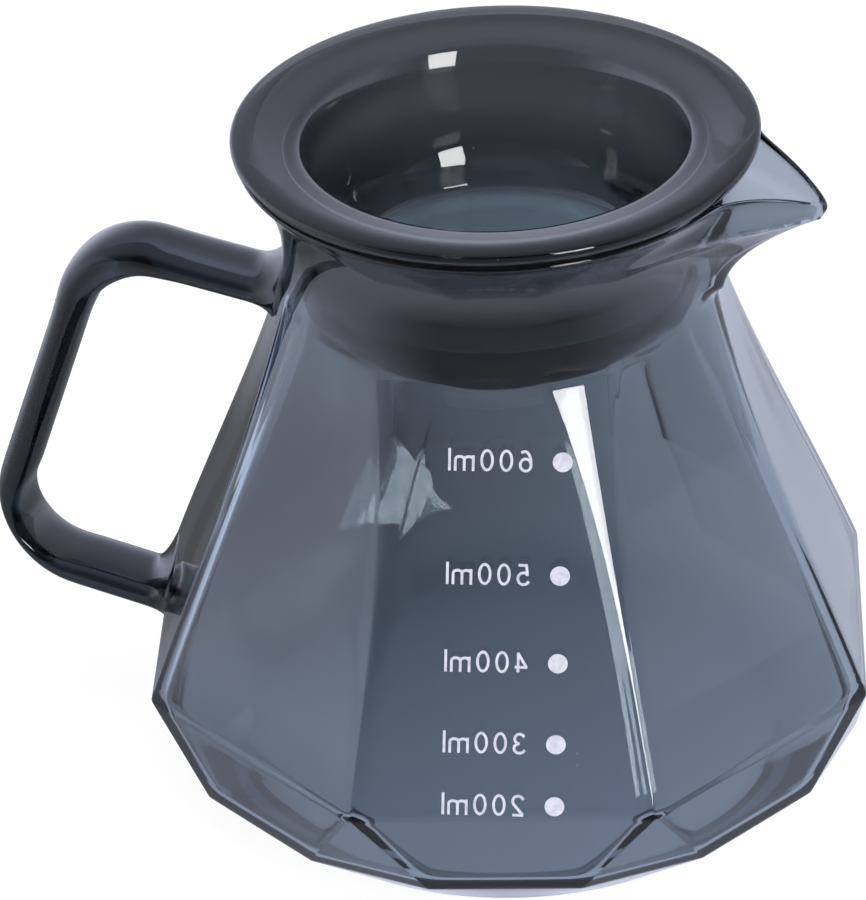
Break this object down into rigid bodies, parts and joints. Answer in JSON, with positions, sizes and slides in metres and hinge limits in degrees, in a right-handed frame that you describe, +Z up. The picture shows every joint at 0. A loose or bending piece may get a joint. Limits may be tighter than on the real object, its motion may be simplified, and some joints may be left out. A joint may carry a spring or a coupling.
{
  "type": "coffee server carafe",
  "caption": "Faceted glass coffee server with a pulled spout, a welded glass bar handle, a loose glass stopper lid and a printed fill scale.",
  "frame": {"origin": "centre of the flat foot, on the surface the server stands on, under the axis of the neck", "axes": "+Z up along the axis of the neck, +X towards the spout, -X towards the handle, -Y towards the side with the printed scale"},
  "size_m": [0.15, 0.124, 0.1162],
  "materials": {
    "jug_glass": "smoky blue-grey clear glass, polished",
    "handle_glass": "smoky blue-grey glass bar, polished",
    "lid_glass": "smoky grey clear glass, polished",
    "enamel": "white fired enamel print, satin"
  },
  "bodies": {
    "jug_body": {"jug": "jug_glass", "handle": "handle_glass", "mark_200": "enamel", "mark_300": "enamel", "mark_400": "enamel", "mark_500": "enamel", "mark_600": "enamel"},
    "lid_body": {"lid": "lid_glass"}
  },
  "joints": [
    {"name": "lid_lift", "type": "slide", "parent": "jug_body", "child": "lid_body", "axis": [0, 0, 1], "range_m": [0, 0.06]}
  ]
}
